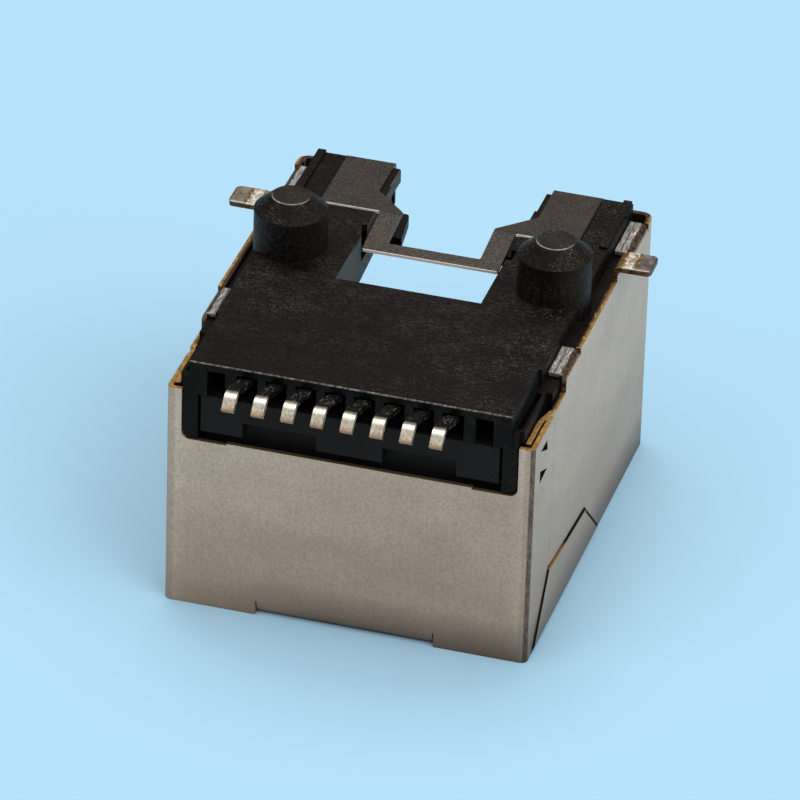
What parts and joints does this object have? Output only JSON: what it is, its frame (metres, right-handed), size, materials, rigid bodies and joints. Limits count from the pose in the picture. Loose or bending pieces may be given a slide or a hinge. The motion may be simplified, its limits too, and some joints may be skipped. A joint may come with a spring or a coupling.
{
  "type": "shielded modular jack",
  "caption": "Board-mounted modular jack in a folded metal shield, with locating pegs, bent solder feet and a cavity for a latched plug.",
  "frame": {"origin": "middle of the overall box, on the outer face of the shield's flat panel", "axes": "+X to the right as seen from the rear, +Y from the rear panel towards the plug opening, +Z towards the circuit board that the pegs and feet go to"},
  "size_m": [0.0188, 0.0218, 0.0143],
  "materials": {
    "shield_nickel": "satin nickel-plated sheet with bare golden cut edges",
    "housing_plastic": "fine matte, lightly scuffed",
    "insert_plastic": "fine matte",
    "clip_steel": "dull dark sheet with bright cut edges",
    "contact_tin": "bright satin tin"
  },
  "bodies": {
    "root": {"shield_shell": "shield_nickel", "housing": "housing_plastic", "contact_insert": "insert_plastic", "ground_clip": "clip_steel", "contact_1": "contact_tin", "contact_2": "contact_tin", "contact_3": "contact_tin", "contact_4": "contact_tin", "contact_5": "contact_tin", "contact_6": "contact_tin", "contact_7": "contact_tin", "contact_8": "contact_tin"}
  },
  "joints": []
}
